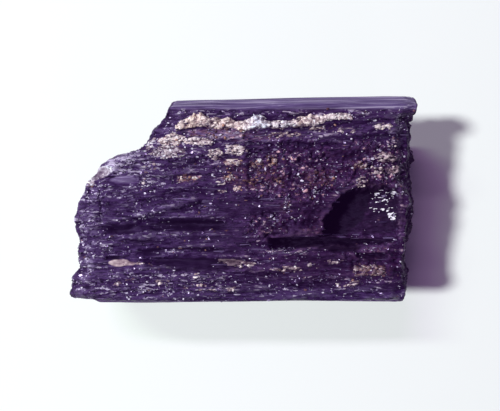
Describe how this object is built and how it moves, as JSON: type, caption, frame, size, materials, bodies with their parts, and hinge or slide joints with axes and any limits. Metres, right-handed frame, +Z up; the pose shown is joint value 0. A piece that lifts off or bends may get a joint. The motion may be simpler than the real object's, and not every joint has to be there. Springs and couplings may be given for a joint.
{
  "type": "tourmaline crystal",
  "caption": "Black tourmaline (schorl) crystal: the lengthwise half of a striated prism, resting on a flat face, with a coarse split face, a pale feldspar seam and mica flecks.",
  "frame": {"origin": "middle of the underside of the crystal's box, in the plane of its rest face", "axes": "+X along the crystal's long (c) axis and its striations, towards the squarer break; +Y across it, towards the far ridge; +Z up out of the split face"},
  "size_m": [0.061, 0.0362, 0.0205],
  "materials": {
    "schorl": "vitreous on the prism faces, sub-metallic and splintery on the split face",
    "feldspar": "sugary, dull, stained cream to rust",
    "mica": "thin pearly flakes that glint"
  },
  "bodies": {
    "root": {"tourmaline_crystal": "schorl"}
  },
  "joints": []
}
